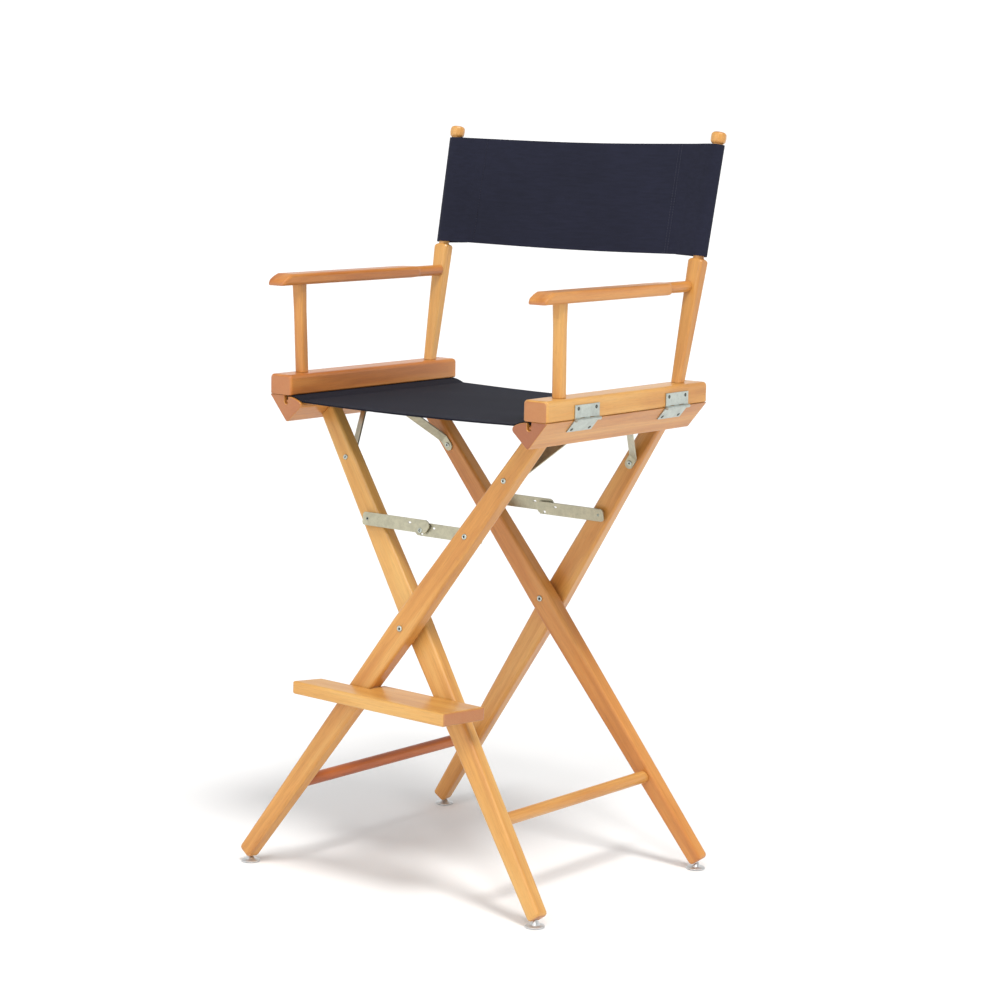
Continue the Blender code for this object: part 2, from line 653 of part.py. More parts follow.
def brace(leg_name, tag):
    """Flat bar bent at both ends: one tab on the leg's inner side, the other under the rail."""
    lean, end, face = LEGS[leg_name]
    along, across, out = leg_frame(lean, end)
    inward = -out
    origin = leg_point(leg_name, 0, 0, LEG_THICK)
    facet_at = Vector((lean * FACET_HIGH.x, 0, FACET_HIGH.z))
    facet_n = Vector((lean * FACET_OUT.x, 0, FACET_OUT.z))
    ceiling = (facet_at - origin).dot(facet_n) / along.dot(facet_n)
    thick, half = 0.0024, 0.0078
    over = Vector((0, -end, 0))  # along the rail toward the chair's middle
    low_mid = GAP + thick / 2
    # centreline of the bar: up the leg, across to the rail, along under the rail
    a0 = origin + along * (BRACE_AT - 0.010) + inward * low_mid
    a1 = origin + along * (BRACE_AT + 0.012) + inward * low_mid
    drop = GAP + thick / 2
    corner = origin + along * (ceiling - drop / abs(along.dot(facet_n)))
    slide = over - facet_n * over.dot(facet_n)
    b0 = corner + slide * 0.068
    b1 = corner + slide * 0.092
    path = [a0, a1, b0, b1]
    side = across
    dirs = [(path[i + 1] - path[i]).normalized() for i in range(3)]
    normals = [(d.cross(side)).normalized() for d in dirs]
    for i, n in enumerate(normals):
        if n.dot(inward) + n.dot(-along) < 0:
            normals[i] = -n
    rail_n = facet_n if facet_n.dot(-along) > 0 else -facet_n
    normals[0] = inward
    normals[2] = rail_n
    rail_side = slide.cross(rail_n).normalized()
    if rail_side.dot(side) < 0:
        rail_side = -rail_side
    sides = [side, (side + rail_side).normalized(), rail_side]
    rings = []

    def ring(p, w, n, s):
        return [p + s * w + n * thick / 2, p - s * w + n * thick / 2, p - s * w - n * thick / 2,
                p + s * w - n * thick / 2]

    for t in (8, 35, 62, 90):
        a = radians(t)
        rings.append(ring(a0 + dirs[0] * half * 0.999 * (1 - cos(a)), half * sin(a), normals[0], sides[0]))
    for k, p in ((0, a1), (1, b0)):
        n0, n1 = normals[k], normals[k + 1]
        mid = (n0 + n1).normalized()
        mid = mid / mid.dot(n0)
        s = (sides[k] + sides[k + 1]).normalized()
        rings.append([p + s * half + mid * thick / 2, p - s * half + mid * thick / 2,
                      p - s * half - mid * thick / 2, p + s * half - mid * thick / 2])
    for t in (90, 62, 35, 8):
        a = radians(t)
        rings.append(ring(b1 - dirs[2] * half * 0.999 * (1 - cos(a)), half * sin(a), normals[2], sides[2]))
    bar = put(f"brace_{tag}", loft(rings), BAR)
    bolt_at = leg_point(leg_name, BRACE_AT)
    carve(bar, [rod(bolt_at, out, -0.05, 0.01, 0.0023, 12)])
    neck = 0.0019
    near, far = LEG_THICK + GAP, LEG_THICK + GAP + thick
    profile = [
        (0.0008, 0.0008), (-0.0016, 0.0015), (-0.0021, 0.0021), (-0.0018, 0.0035), (-0.0003, 0.0045),
        (-0.00029, neck), (far + 0.0003, neck), (far + 0.00031, 0.0044), (far + 0.0015, 0.0036),
        (far + 0.0018, 0.0022), (far + 0.0013, 0.0015), (far - 0.0010, 0.0008),
    ]
    put(f"brace_bolt_{tag}", loft(turned(bolt_at, inward, profile, 12)), METAL, origin=tuple(bolt_at))


for brace_leg, brace_tag in (
    ("leg_front_outer", "front_right"), ("leg_front_inner", "front_left"),
    ("leg_rear_inner", "rear_left"), ("leg_rear_outer", "rear_right"),
):
    brace(brace_leg, brace_tag)


# ---------------------------------------------------------------- footrest and glides


def footrest():
    """Board across the front legs, stepped at the back round the outer leg."""
    y_front = -0.2675
    y_step = -(OUTER_FACE + SPLAY * (PIVOT_Z - REST_TOP + REST_T + 0.006)) - 0.0006
    y_back = -(INNER_FACE + SPLAY * (PIVOT_Z - REST_TOP + REST_T + 0.006)) - 0.0006
    plan = [(-0.1640, y_front), (0.1408, y_front), (0.1560, y_back), (-0.0450, y_back), (-0.0450, y_step),
            (-0.1450, y_step)]
    bm = bmesh.new()
    u = Vector((cos(REST_TILT), 0, -sin(REST_TILT)))
    v = Vector((sin(REST_TILT), 0, cos(REST_TILT)))
    centre = Vector((0, 0, REST_TOP))
    top = [bm.verts.new(centre + u * x + Y * y) for x, y in plan]
    low = [bm.verts.new(centre + u * x + Y * y - v * REST_T) for x, y in plan]
    n = len(plan)
    bm.faces.new(top)
    bm.faces.new(low[::-1])
    for i in range(n):
        bm.faces.new((top[i], low[i], low[(i + 1) % n], top[(i + 1) % n]))
    bmesh.ops.recalc_face_normals(bm, faces=bm.faces)
    bmesh.ops.bevel(bm, geom=list(bm.edges), offset=0.0028, segments=2, affect="EDGES", profile=0.5,
                    clamp_overlap=True)
    put("footrest", bm, PINE)


footrest()


def rest_pin():
    """Peg in the inner front leg that the footrest's free end sits on."""
    lean, end, face = LEGS["leg_front_inner"]
    out = leg_frame(lean, end)[2]
    u = Vector((cos(REST_TILT), 0, -sin(REST_TILT)))
    v = Vector((sin(REST_TILT), 0, cos(REST_TILT)))
    radius = 0.0040
    # the station down the leg where the peg's top just meets the board's underside
    s = -0.12
    for _ in range(40):
        p = leg_point("leg_front_inner", s)
        low = (p - Vector((0, 0, REST_TOP))).dot(v) + REST_T + radius + GAP + 0.0026
        s -= low / abs(leg_frame(lean, end)[0].z)
    peg = leg_point("leg_front_inner", s)
    profile = [(-0.010, radius - 0.0006), (-0.0094, radius), (0.0225, radius), (0.0240, radius - 0.0014)]
    put("footrest_pin", loft(turned(peg, out, profile, 12)), METAL, origin=tuple(peg))
    carve(bpy.data.objects["leg_front_inner"], [rod(peg, out, -0.011, 0.01, radius + GAP, 12)])


rest_pin()


def glide(leg_name, tag):
    """Pressed steel glide flat on the floor under a leg's slanted end."""
    lean, end, face = LEGS[leg_name]
    along, across, out = leg_frame(lean, end)
    foot = leg_point(leg_name, FOOT_AT, 0, LEG_THICK / 2)
    centre = Vector((foot.x, foot.y, 0))
    rings = []
    for z, r in ((0.0, 0.0132), (0.0009, 0.0152), (0.0020, 0.0152), (0.0029, 0.0136), (0.0038, 0.0078)):
        rings.append(spread(circle(r, 16), centre + Z * z + X * lean * 0.006, X, Y))
    stem_at = foot - along * GAP
    ring = spread(circle(0.0042, 16), centre + X * lean * 0.006, X, Y)
    rings.append(onto(ring, Z, stem_at, along))
    put(f"glide_{tag}", loft(rings), METAL)


for glide_leg, glide_tag in (
    ("leg_front_outer", "front_left"), ("leg_front_inner", "front_right"),
    ("leg_rear_inner", "rear_right"), ("leg_rear_outer", "rear_left"),
):
    glide(glide_leg, glide_tag)


# ---------------------------------------------------------------- slings

SEAT_HALF = 0.200
SEAT_T = 0.0013


def seat_half(side, tag):
    """Half of the seat sling: from the centre line, over the rail's nose and down into its groove."""
    run = [(0.0002, 0.7402), (0.060, 0.7406), (0.120, 0.7420), (0.180, 0.7437), (0.2124, 0.7442),
           (0.2166, 0.7460), (0.2216, 0.7480), (0.2266, 0.7494), (0.2316, 0.7503), (0.2360, 0.7506)]
    under = [(x, z - SEAT_T / 2) for x, z in run]
    over = [(x, z + SEAT_T / 2) for x, z in run]
    under[4] = (0.2110, 0.7434)
    for i in range(5, 10):
        under[i] = (run[i][0], run[i][1] - 0.0008)
        over[i] = (run[i][0], run[i][1] + 0.0004)
    tail = [(0.2404, 0.7505), (0.2404, 0.7452), (0.2376, 0.7452), (0.2376, 0.7493)]
    outline = over + tail + under[::-1]
    base = [Vector((side * a, -SEAT_HALF, b)) for a, b in outline]
    bm = loft([base, [p + Y * 2 * SEAT_HALF for p in base]])
    put(f"seat_sling_{tag}", bm, CLOTH, origin=(side * GROOVE_X, 0, RAIL_TOP))
    put(f"seat_dowel_{tag}", loft(turned(Vector((side * GROOVE_X, 0, GROOVE_FLOOR + 0.0002)), Y, [
        (-0.1995, 0.0022), (-0.1985, 0.0030), (0.1985, 0.0030), (0.1995, 0.0022)], 12)), PINE)


seat_half(1, "right")
seat_half(-1, "left")

BACK_LOW, BACK_HIGH = 0.978, 1.147
BACK_BOW = 0.010


def back_half(side, tag):
    """Half of the back sling, with a sleeve almost closed round the spindle."""
    rake = Vector((side * BACK_LEAN.x, BACK_LEAN.y, BACK_LEAN.z))
    u = Vector((side, 0, 0)) - rake * rake.x * side
    u.normalize()
    v = rake.cross(u)
    if v.y < 0:
        v = -v
    t, r_in = 0.0014, SPINDLE_R + 0.0006
    rings = []
    rows = 6
    for k in range(rows + 1):
        z = BACK_LOW + (BACK_HIGH - BACK_LOW) * k / rows
        c = Vector((side * BACK_BASE.x, BACK_BASE.y, BACK_BASE.z)) + rake * ((z - BACK_BASE.z) / rake.z)
        flare = abs(c.x)
        outer, inner = [], []
        # sheet: from the centre line to where it meets the sleeve at the rear, then round the spindle
        for f in (0.0, 0.3, 0.6, 0.85):
            x = 0.0002 + (flare - 0.004) * f
            y = r_in + t + BACK_BOW * (1 - f * f)
            outer.append((x - flare, y))
            inner.append((x - flare, y - t))
        for a in range(105, -216, -32):
            p = radians(a)
            outer.append(((r_in + t) * cos(p), (r_in + t) * sin(p)))
            inner.append((r_in * cos(p), r_in * sin(p)))
        outline = outer + inner[::-1]
        rings.append([c + u * a + v * b for a, b in outline])
    centre = Vector((side * BACK_BASE.x, BACK_BASE.y, BACK_BASE.z)) + rake * ((1.06 - BACK_BASE.z) / rake.z)
    put(f"back_sling_{tag}", loft(rings), CLOTH, origin=tuple(centre))


back_half(1, "right")
back_half(-1, "left")
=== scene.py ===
from math import atan, cos, dist, pi, radians, sin, tan

import bmesh
import bpy
from mathutils import Matrix, Vector, noise


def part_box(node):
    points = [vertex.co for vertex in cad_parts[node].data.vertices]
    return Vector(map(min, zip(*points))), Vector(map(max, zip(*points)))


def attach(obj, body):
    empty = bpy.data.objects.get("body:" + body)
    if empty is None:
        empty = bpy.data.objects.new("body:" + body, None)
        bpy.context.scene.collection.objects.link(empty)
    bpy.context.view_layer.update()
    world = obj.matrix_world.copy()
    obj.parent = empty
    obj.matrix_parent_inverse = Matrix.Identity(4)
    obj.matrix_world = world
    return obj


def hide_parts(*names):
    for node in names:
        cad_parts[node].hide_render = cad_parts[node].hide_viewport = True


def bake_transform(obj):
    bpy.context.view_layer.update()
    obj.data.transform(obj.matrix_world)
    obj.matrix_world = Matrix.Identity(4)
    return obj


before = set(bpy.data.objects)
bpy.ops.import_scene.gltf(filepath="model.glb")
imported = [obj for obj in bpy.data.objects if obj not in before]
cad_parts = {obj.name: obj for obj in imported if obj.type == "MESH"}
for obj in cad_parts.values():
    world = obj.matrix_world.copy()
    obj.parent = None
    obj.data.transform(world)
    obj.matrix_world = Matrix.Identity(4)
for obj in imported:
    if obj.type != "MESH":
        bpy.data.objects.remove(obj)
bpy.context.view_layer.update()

scene = bpy.context.scene
X, Y, Z = Vector((1, 0, 0)), Vector((0, 1, 0)), Vector((0, 0, 1))

# sizes that the new pieces share with the CAD, in metres
GAP = 0.0003  # between touching pieces
PIVOT_Z = 0.412  # height of the crossing pivot
LEAN = radians(35.35)  # a leg from vertical, seen from the front
PSI = atan(0.13)  # tilt of a leg's plane
LEG_THICK = 0.0248
OUTER_FACE, INNER_FACE = 0.204, 0.1705  # |y| of a leg's outer face at the crossing
SPREADER_AT, BRACE_AT = 0.188, 0.2987  # rivets, measured along a leg from the crossing
LINK_FACE = 0.0056 + 0.0022  # a spreader link's far face, from the leg that carries it
KNEE_DROP = 0.0066  # the knee below its link's bolt
LEAF_T = 0.0014  # hinge leaf
RAIL_SIDE, RAIL_TOP = 0.275, 0.751  # upper edge of the lower rail's slanted face, as x and z
SLANT = Vector((0.2395 - RAIL_SIDE, 0, 0.7085 - RAIL_TOP)).normalized()  # down that face
RAKE = Vector((0.0285, 0.205, 1.0)).normalized()  # along the right back post
POST_BASE = Vector((0.2505, 0.158, 0.783))
SPINDLE_R = 0.0085


def srgb(r, g, b):
    def lin(c):
        c /= 255.0
        return c / 12.92 if c <= 0.04045 else ((c + 0.055) / 1.055) ** 2.4
    return (lin(r), lin(g), lin(b), 1.0)


def grey(v):
    return (v, v, v, 1.0)


# ------------------------------------------------------------------ camera

YAW, PITCH, ROLL = radians(40.42), radians(8.88), radians(0.70)
EYE = Vector((2.628, -3.279, 1.217))
SENSOR = 36

look = Vector((-sin(YAW) * cos(PITCH), cos(YAW) * cos(PITCH), -sin(PITCH)))
level = Vector((cos(YAW), sin(YAW), 0))
upright = level.cross(look)
side = level * cos(ROLL) + upright * sin(ROLL)
up = upright * cos(ROLL) - level * sin(ROLL)
cam_data = bpy.data.cameras.new("camera")
cam_data.sensor_width = SENSOR
cam_data.lens = SENSOR * 2.6967
cam_data.shift_x = 0.0943
cam_data.shift_y = 0.0169
cam_data.clip_end = 100
camera = bpy.data.objects.new("camera", cam_data)
scene.collection.objects.link(camera)
camera.matrix_world = Matrix((
    (side.x, up.x, -look.x, EYE.x),
    (side.y, up.y, -look.y, EYE.y),
    (side.z, up.z, -look.z, EYE.z),
    (0, 0, 0, 1),
))
scene.camera = camera

# ------------------------------------------------------------------ light and floor

FLOOR_HALF, FLOOR_Z = 60, -0.0005

# white studio, bright near the horizon and dimmer higher up
world = bpy.data.worlds.new("studio")
world.use_nodes = True
tree = world.node_tree
backdrop = tree.nodes["Background"]
sky = tree.nodes.new("ShaderNodeTexCoord")
height = tree.nodes.new("ShaderNodeSeparateXYZ")
fade = tree.nodes.new("ShaderNodeMapRange")
for socket, value in (("From Min", 0.16), ("From Max", 0.42), ("To Min", 1.08), ("To Max", 0.50)):
    fade.inputs[socket].default_value = value
tree.links.new(sky.outputs["Generated"], height.inputs[0])
tree.links.new(height.outputs["Z"], fade.inputs["Value"])
tree.links.new(fade.outputs["Result"], backdrop.inputs["Strength"])
backdrop.inputs["Color"].default_value = (1, 1, 1, 1)
scene.world = world
scene.view_settings.view_transform = "Standard"


def lamp(name, toward, strength, spread, color=(1, 1, 1)):
    """Soft directional light arriving from a direction."""
    data = bpy.data.lights.new(name, "SUN")
    data.energy = strength
    data.angle = radians(spread)
    data.color = color
    obj = bpy.data.objects.new(name, data)
    obj.rotation_euler = Vector(toward).to_track_quat("Z", "Y").to_euler()
    obj.location = Vector(toward) * 3
    scene.collection.objects.link(obj)


lamp("key", (0.42, -0.22, 1.0), 1.75, 16, (1.0, 0.99, 0.97))
lamp("front", (0.10, -1.0, 0.50), 0.60, 50)
lamp("ridge", (0.38, -0.57, 0.71), 0.45, 8)

corners = [(sx * FLOOR_HALF, sy * FLOOR_HALF, FLOOR_Z) for sx, sy in ((-1, -1), (1, -1), (1, 1), (-1, 1))]
floor_mesh = bpy.data.meshes.new("floor")
floor_mesh.from_pydata(corners, [], [(0, 1, 2, 3)])
floor = bpy.data.objects.new("floor", floor_mesh)
scene.collection.objects.link(floor)


# ------------------------------------------------------------------ materials


class Nodes:
    """A material's node tree with short calls for the nodes used here."""

    def __init__(self, name):
        self.mat = bpy.data.materials.new(name)
        self.mat.use_nodes = True
        self.tree = self.mat.node_tree
        self.shader = self.tree.nodes["Principled BSDF"]

    def add(self, kind, **values):
        node = self.tree.nodes.new(kind)
        for key, value in values.items():
            if key in node.inputs:
                node.inputs[key].default_value = value
            else:
                setattr(node, key, value)
        return node

    def link(self, a, b):
        self.tree.links.new(a, b)

    def math(self, op, a, b=0.0):
        node = self.add("ShaderNodeMath", operation=op)
        for slot, value in ((0, a), (1, b)):
            if isinstance(value, (int, float)):
                node.inputs[slot].default_value = value
            else:
                self.link(value, node.inputs[slot])
        return node.outputs[0]

    def scaled(self, vector, scale):
        """A coordinate stretched by a factor along each axis."""
        node = self.add("ShaderNodeMapping")
        node.inputs["Scale"].default_value = scale
        self.link(vector, node.inputs["Vector"])
        return node.outputs["Vector"]

    def dot(self, vector, direction):
        node = self.add("ShaderNodeVectorMath", operation="DOT_PRODUCT")
        node.inputs[1].default_value = direction
        self.link(vector, node.inputs[0])
        return node.outputs["Value"]

    def remap(self, value, into, source=(0.0, 1.0)):
        node = self.add("ShaderNodeMapRange")
        node.inputs["From Min"].default_value, node.inputs["From Max"].default_value = source
        node.inputs["To Min"].default_value, node.inputs["To Max"].default_value = into
        self.link(value, node.inputs["Value"])
        return node.outputs["Result"]

    def ramp(self, fac, stops):
        node = self.add("ShaderNodeValToRGB")
        ramp = node.color_ramp
        while len(ramp.elements) < len(stops):
            ramp.elements.new(0.5)
        for element, (at, color) in zip(ramp.elements, stops):
            element.position = at
            element.color = color
        self.link(fac, node.inputs["Fac"])
        return node.outputs["Color"]

    def mix(self, fac, a, b, mode="MIX"):
        node = self.add("ShaderNodeMix", data_type="RGBA", blend_type=mode)
        for slot, value in ((0, fac), (6, a), (7, b)):
            if hasattr(value, "links"):
                self.link(value, node.inputs[slot])
            else:
                node.inputs[slot].default_value = value
        return node.outputs[2]

    def noise(self, vector, scale, detail=2.0, rough=0.5, distort=0.0):
        node = self.add("ShaderNodeTexNoise", Scale=scale, Detail=detail, Roughness=rough, Distortion=distort)
        self.link(vector, node.inputs["Vector"])
        return node.outputs["Fac"]

    def bump(self, height, strength, distance, edge_radius=None):
        """Surface relief from a height, on edges that are softened where a radius is given."""
        node = self.add("ShaderNodeBump", Strength=strength, Distance=distance)
        self.link(height, node.inputs["Height"])
        if edge_radius is not None:
            soft = self.add("ShaderNodeBevel", samples=4, Radius=edge_radius)
            self.link(soft.outputs["Normal"], node.inputs["Normal"])
        self.link(node.outputs["Normal"], self.shader.inputs["Normal"])

    def surface(self, **values):
        """Sets or links the shader's sockets, with _ for a space in a socket's name."""
        for key, value in values.items():
            socket = self.shader.inputs[key.replace("_", " ")]
            if hasattr(value, "links"):
                self.link(value, socket)
            else:
                socket.default_value = value


def wood(name, axis, seed, tone, ends_dark):
    """Lacquered hardwood with its grain along axis: growth bands, fibre streaks, pores and darker end grain.
    tone goes from a light board at 0 to a dark one at 1, and ends_dark does the same for the end grain."""
    n = Nodes(name)
    axis = Vector(axis).normalized()
    coord = n.add("ShaderNodeTexCoord")
    place = n.add("ShaderNodeMapping")
    place.inputs["Rotation"].default_value = axis.rotation_difference(X).to_euler()
    place.inputs["Location"].default_value = (seed * 0.37, seed * 0.113, seed * 0.071)
    n.link(coord.outputs["Object"], place.inputs["Vector"])
    along = place.outputs["Vector"]

    # board colour
    broad = n.noise(n.scaled(along, (3.2, 34, 34)), 1.0, 3.0, 0.55, 0.35)
    light = srgb(226 - 14 * tone, 180 - 38 * tone, 104 - 36 * tone)
    middle = srgb(216 - 20 * tone, 161 - 42 * tone, 82 - 34 * tone)
    dark = srgb(192 - 26 * tone, 128 - 36 * tone, 58 - 24 * tone)
    colour = n.ramp(broad, [(0.30, light), (0.52, middle), (0.74, dark)])
    bands = n.add("ShaderNodeTexWave", bands_direction="Y", wave_profile="SAW", Scale=1.0, Distortion=3.2)
    bands.inputs["Detail"].default_value = 2.0
    bands.inputs["Detail Scale"].default_value = 0.8
    n.link(n.scaled(along, (5.0, 62, 40)), bands.inputs["Vector"])
    colour = n.mix(n.math("MULTIPLY", bands.outputs["Fac"], 0.24), colour, dark)
    fibre = n.noise(n.scaled(along, (14, 520, 520)), 1.0, 3.0, 0.6)
    colour = n.mix(0.6, colour, n.ramp(fibre, [(0.36, grey(0.86)), (0.62, grey(1.0))]), "MULTIPLY")
    pores = n.noise(n.scaled(along, (60, 1500, 1500)), 1.0, 1.0)
    colour = n.mix(0.45, colour, n.ramp(pores, [(0.33, grey(0.72)), (0.42, grey(1.0))]), "MULTIPLY")

    # end grain, where the surface faces along the grain
    facing = n.math("ABSOLUTE", n.dot(coord.outputs["Normal"], axis))
    end_amount = n.math("MULTIPLY", n.remap(facing, (0.0, 1.0), (0.72, 0.93)), 0.85)
    rings = n.add("ShaderNodeTexWave", wave_type="RINGS", rings_direction="X", Scale=1.0, Distortion=1.4)
    rings.inputs["Detail"].default_value = 2.0
    n.link(n.scaled(along, (1, 210, 210)), rings.inputs["Vector"])
    end_light = srgb(190 - 40 * ends_dark, 126 - 44 * ends_dark, 76 - 20 * ends_dark)
    end_dark = srgb(162 - 34 * ends_dark, 98 - 34 * ends_dark, 58 - 14 * ends_dark)
    colour = n.mix(end_amount, colour, n.ramp(rings.outputs["Fac"], [(0.1, end_light), (0.9, end_dark)]))

    n.surface(Base_Color=colour, Roughness=n.remap(fibre, (0.34, 0.52)), Coat_Weight=0.35, Coat_Roughness=0.2)
    relief = n.math("ADD", n.math("MULTIPLY", fibre, 0.7), n.math("MULTIPLY", pores, 0.3))
    n.bump(relief, 0.22, 0.0004, edge_radius=0.0014)
    return n.mat


def metal(name, colour, rough, patina, drawn=(60, 60, 2600)):
    """Plated steel: faint blotches, fine drawn lines and small scuffs."""
    n = Nodes(name)
    place = n.add("ShaderNodeTexCoord").outputs["Object"]
    blotch = n.noise(place, 85.0, 3.0, 0.6, 0.4)
    lines = n.noise(n.scaled(place, drawn), 1.0, 2.0, 0.6)
    scuff = n.noise(place, 420.0, 2.0, 0.7)
    dark = tuple(c * (1 - patina) for c in colour[:3]) + (1.0,)
    tint = n.ramp(blotch, [(0.32, dark), (0.64, colour)])
    tint = n.mix(0.35, tint, n.ramp(scuff, [(0.30, grey(0.7)), (0.5, grey(1.0))]), "MULTIPLY")
    n.surface(Base_Color=tint, Metallic=0.82, Roughness=n.remap(blotch, (rough - 0.08, rough + 0.14)))
    n.bump(lines, 0.10, 0.0002, edge_radius=0.0005)
    return n.mat


THREAD_PITCH = 0.0009


def canvas(name, across, along, tone):
    """Navy cotton duck: a plain weave of threads in two directions, slubs, lint and a soft sheen.
    across and along are the two thread directions at rest, and a smaller tone is darker."""
    n = Nodes(name)
    place = n.add("ShaderNodeTexCoord").outputs["Object"]
    warp = n.dot(place, Vector(across).normalized() / THREAD_PITCH)
    weft = n.dot(place, Vector(along).normalized() / THREAD_PITCH)

    def wave(count, rate):
        return n.math("SINE", n.math("MULTIPLY", count, rate))

    # threads from a wave each way, passing over and under from the product of two half-rate waves
    threads = n.math("ADD", wave(warp, 2 * pi), wave(weft, 2 * pi))
    check = n.math("MULTIPLY", wave(warp, pi), wave(weft, pi))
    weave = n.math("ADD", n.math("MULTIPLY", threads, 0.22), n.math("MULTIPLY", check, 0.5))
    slub = n.noise(n.scaled(place, (30, 260, 260)), 1.0, 3.0, 0.6)
    cloud = n.noise(place, 7.0, 3.0, 0.55)
    lint = n.noise(place, 900.0, 1.0)
    deep = srgb(29 * tone, 31 * tone, 48 * tone)
    pale = srgb(34 * tone, 36 * tone, 55 * tone)
    base = n.ramp(cloud, [(0.32, deep), (0.68, pale)])
    base = n.mix(0.55, base, n.ramp(slub, [(0.35, grey(0.74)), (0.66, grey(1.12))]), "MULTIPLY")
    lit = n.remap(weave, (0.62, 1.18), (-0.9, 0.9))
    shade = n.add("ShaderNodeCombineColor")
    for channel in ("Red", "Green", "Blue"):
        n.link(lit, shade.inputs[channel])
    base = n.mix(0.8, base, shade.outputs["Color"], "MULTIPLY")
    fluff = n.ramp(lint, [(0.70, grey(0.0)), (0.78, grey(1.0))])
    base = n.mix(n.math("MULTIPLY", fluff, 0.10), base, srgb(84, 86, 102))
    n.surface(Base_Color=base, Roughness=0.88, Specular_IOR_Level=0.25,
              Sheen_Weight=0.08, Sheen_Roughness=0.5, Sheen_Tint=srgb(120, 126, 150))
    n.bump(n.math("ADD", weave, n.math("MULTIPLY", slub, 0.5)), 0.45, 0.00025)
    return n.mat


def sewing_thread():
    """Thread a little paler than the cloth, with its ply as colour variation."""
    n = Nodes("thread")
    ply = n.noise(n.add("ShaderNodeTexCoord").outputs["Object"], 1400.0)
    n.surface(Base_Color=n.ramp(ply, [(0.3, srgb(34, 36, 52)), (0.7, srgb(60, 62, 80))]), Roughness=0.6)
    return n.mat


# painted shade: a dark material for small discs that stand in for the shade inside the dimples of rivet heads
def painted_pit_shade():
    n = Nodes("recess")
    n.surface(Base_Color=srgb(34, 32, 30), Roughness=0.7)
    return n.mat


def floor_paper():
    n = Nodes("floor_paper")
    grain = n.noise(n.add("ShaderNodeTexCoord").outputs["Object"], 2.0)
    n.surface(Base_Color=n.ramp(grain, [(0.3, grey(0.925)), (0.7, grey(0.94))]),
              Roughness=0.9, Specular_IOR_Level=0.1)
    return n.mat


floor_mesh.materials.append(floor_paper())
ZINC = metal("zinc_plate", srgb(206, 214, 206), 0.34, 0.16)
HINGE = metal("zinc_hinge", srgb(196, 203, 196), 0.36, 0.22)
DISC = metal("glide_disc", srgb(226, 228, 228), 0.30, 0.08)
BARS = metal("chromate_bar", srgb(196, 192, 168), 0.40, 0.2, drawn=(2600, 60, 60))
SCREW = metal("screw_steel", srgb(92, 94, 88), 0.5, 0.4)
# painted shade for the rivet dimples
PIT_SHADE = painted_pit_shade()
DUCK_SEAT = canvas("canvas_seat", X, Y, 0.62)
DUCK_BACK = canvas("canvas_back", X, RAKE - X * RAKE.x, 0.95)
THREAD = sewing_thread()

# ------------------------------------------------------------------ the wooden and metal CAD pieces


def leg_frame(lean, end):
    """Unit vectors of a leg: along it going up, and out of the chair."""
    upward = Vector((0, -end * sin(PSI), cos(PSI)))
    out = Vector((0, end * cos(PSI), sin(PSI)))
    theta = atan(tan(LEAN) * cos(PSI))
    return X * lean * sin(theta) + upward * cos(theta), out


def wear(node, mat, smooth):
    """Gives a CAD piece its material, with edges sharper than an angle in degrees left sharp."""
    obj = bpy.data.objects[node]
    obj.data.materials.clear()
    obj.data.materials.append(mat)
    for poly in obj.data.polygons:
        poly.material_index = 0
    obj.data.shade_smooth()
    obj.data.set_sharp_from_angle(angle=radians(smooth))


# grain direction and tone of each board
WOODEN = {
    "leg_front_outer": (leg_frame(1, -1)[0], 0.25), "leg_front_inner": (leg_frame(-1, -1)[0], 0.1),
    "leg_rear_inner": (leg_frame(-1, 1)[0], 0.75), "leg_rear_outer": (leg_frame(1, 1)[0], 0.4),
    "stretcher_left": (Y, 1.6), "stretcher_right": (Y, 0.3),
    "lower_rail_right": (Y, 0.5), "lower_rail_left": (Y, 0.6),
    "upper_rail_right": (Y, 0.15), "upper_rail_left": (Y, 1.0),
    "front_post_right": (Z, 0.2), "front_post_left": (Z, 0.5),
    "back_post_right": (RAKE, 0.15), "back_post_left": (Vector((-RAKE.x, RAKE.y, RAKE.z)), 0.2),
    "arm_right": (Y, 0.7), "arm_left": (Y, 1.0), "footrest": (X, 0.1),
    "seat_dowel_right": (Y, 0.5), "seat_dowel_left": (Y, 0.5),
}
ENDS_DARK = {"lower_rail_right": 0.8, "lower_rail_left": 0.25, "footrest": 0.25}
for number, (node, (grain_axis, tone)) in enumerate(WOODEN.items(), 1):
    wear(node, wood(f"wood_{node}", grain_axis, number, tone, ENDS_DARK.get(node, 0.0)), 35)

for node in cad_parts:
    if node.startswith("hinge_"):
        wear(node, HINGE, 30)
    elif node.startswith(("spreader_link", "brace_front", "brace_rear")):
        wear(node, BARS, 30)
    elif node.startswith(("cross_bolt", "spreader_bolt", "brace_bolt", "knee_rivet", "footrest_pin")):
        wear(node, ZINC, 40)
    elif node.startswith("glide"):
        wear(node, DISC, 40)


# ------------------------------------------------------------------ mesh tools


def piece(name, verts, faces, mat, angle=40):
    mesh = bpy.data.meshes.new(name)
    mesh.from_pydata([tuple(v) for v in verts], [], faces)
    mesh.validate()
    mesh.materials.append(mat)
    mesh.shade_smooth()
    mesh.set_sharp_from_angle(angle=radians(angle))
    obj = bpy.data.objects.new(name, mesh)
    scene.collection.objects.link(obj)
    return obj


def ring_faces(start, rings, sides):
    """Four-sided faces between consecutive rings of vertices, numbered from start."""
    faces = []
    for i in range(rings - 1):
        for k in range(sides):
            a = start + i * sides + k
            b = start + i * sides + (k + 1) % sides
            faces.append((a, b, b + sides, a + sides))
    return faces


